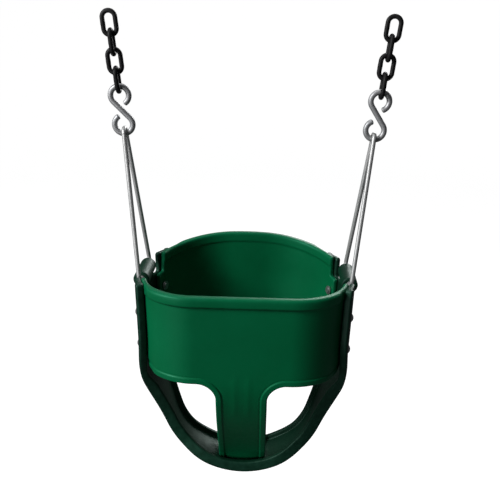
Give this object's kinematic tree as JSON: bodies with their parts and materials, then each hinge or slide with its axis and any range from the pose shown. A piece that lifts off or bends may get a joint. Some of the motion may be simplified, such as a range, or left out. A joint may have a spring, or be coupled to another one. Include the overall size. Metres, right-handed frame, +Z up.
{
  "type": "toddler bucket swing",
  "caption": "Full-bucket toddler swing seat: U-shaped strap, front and back panels with leg posts, triangular rod bails, S-hooks and coated chains that swing fore and aft",
  "frame": {"origin": "Under the middle of the seat, at the height of the strap's lowest point", "axes": "+X towards the seat's left-hand side seen by the child (the viewer's right from the front), +Y towards the back, +Z up"},
  "size_m": [0.4156, 0.2629, 0.7051],
  "materials": {
    "shell": "smooth moulded green rubber",
    "strap": "moulded dark green rubber, a little duller than the panels",
    "insert": "spring steel band, moulded in",
    "fixing": "zinc-plated steel",
    "rod": "galvanised round rod",
    "hook": "zinc-plated round wire",
    "chain": "black vinyl coat over steel wire"
  },
  "bodies": {
    "hangers": {"left_top_link": "chain", "right_top_link": "chain"},
    "left_chain": {"left_link_1": "chain", "left_link_2": "chain", "left_link_3": "chain", "left_s_hook": "hook"},
    "right_chain": {"right_link_1": "chain", "right_link_2": "chain", "right_link_3": "chain", "right_s_hook": "hook"},
    "seat": {"front_panel": "shell", "back_panel": "shell", "seat_strap": "strap", "front_insert": "insert", "back_insert": "insert", "strap_insert": "insert", "left_rivets": "fixing", "right_rivets": "fixing", "bottom_rivets": "fixing", "left_washers": "fixing", "right_washers": "fixing", "bottom_washers": "fixing", "left_sleeve": "fixing", "right_sleeve": "fixing", "left_bail": "rod", "right_bail": "rod"}
  },
  "joints": [
    {"name": "left_chain_swing", "type": "hinge", "parent": "hangers", "child": "left_chain", "pos_m": [-0.19285, 0, 0.66933], "axis": [1, 0, 0], "range_deg": [-45, 45]},
    {"name": "right_chain_swing", "type": "hinge", "parent": "hangers", "child": "right_chain", "pos_m": [0.19285, 0, 0.66933], "axis": [1, 0, 0], "range_deg": [-45, 45]},
    {"name": "seat_tilt", "type": "hinge", "parent": "left_chain", "child": "seat", "pos_m": [-0.17763, 0, 0.53368], "axis": [1, 0, 0], "range_deg": [-30, 30]}
  ],
  "couplings": [
    {"joint": "right_chain_swing", "follows": "left_chain_swing", "ratio": 1}
  ]
}
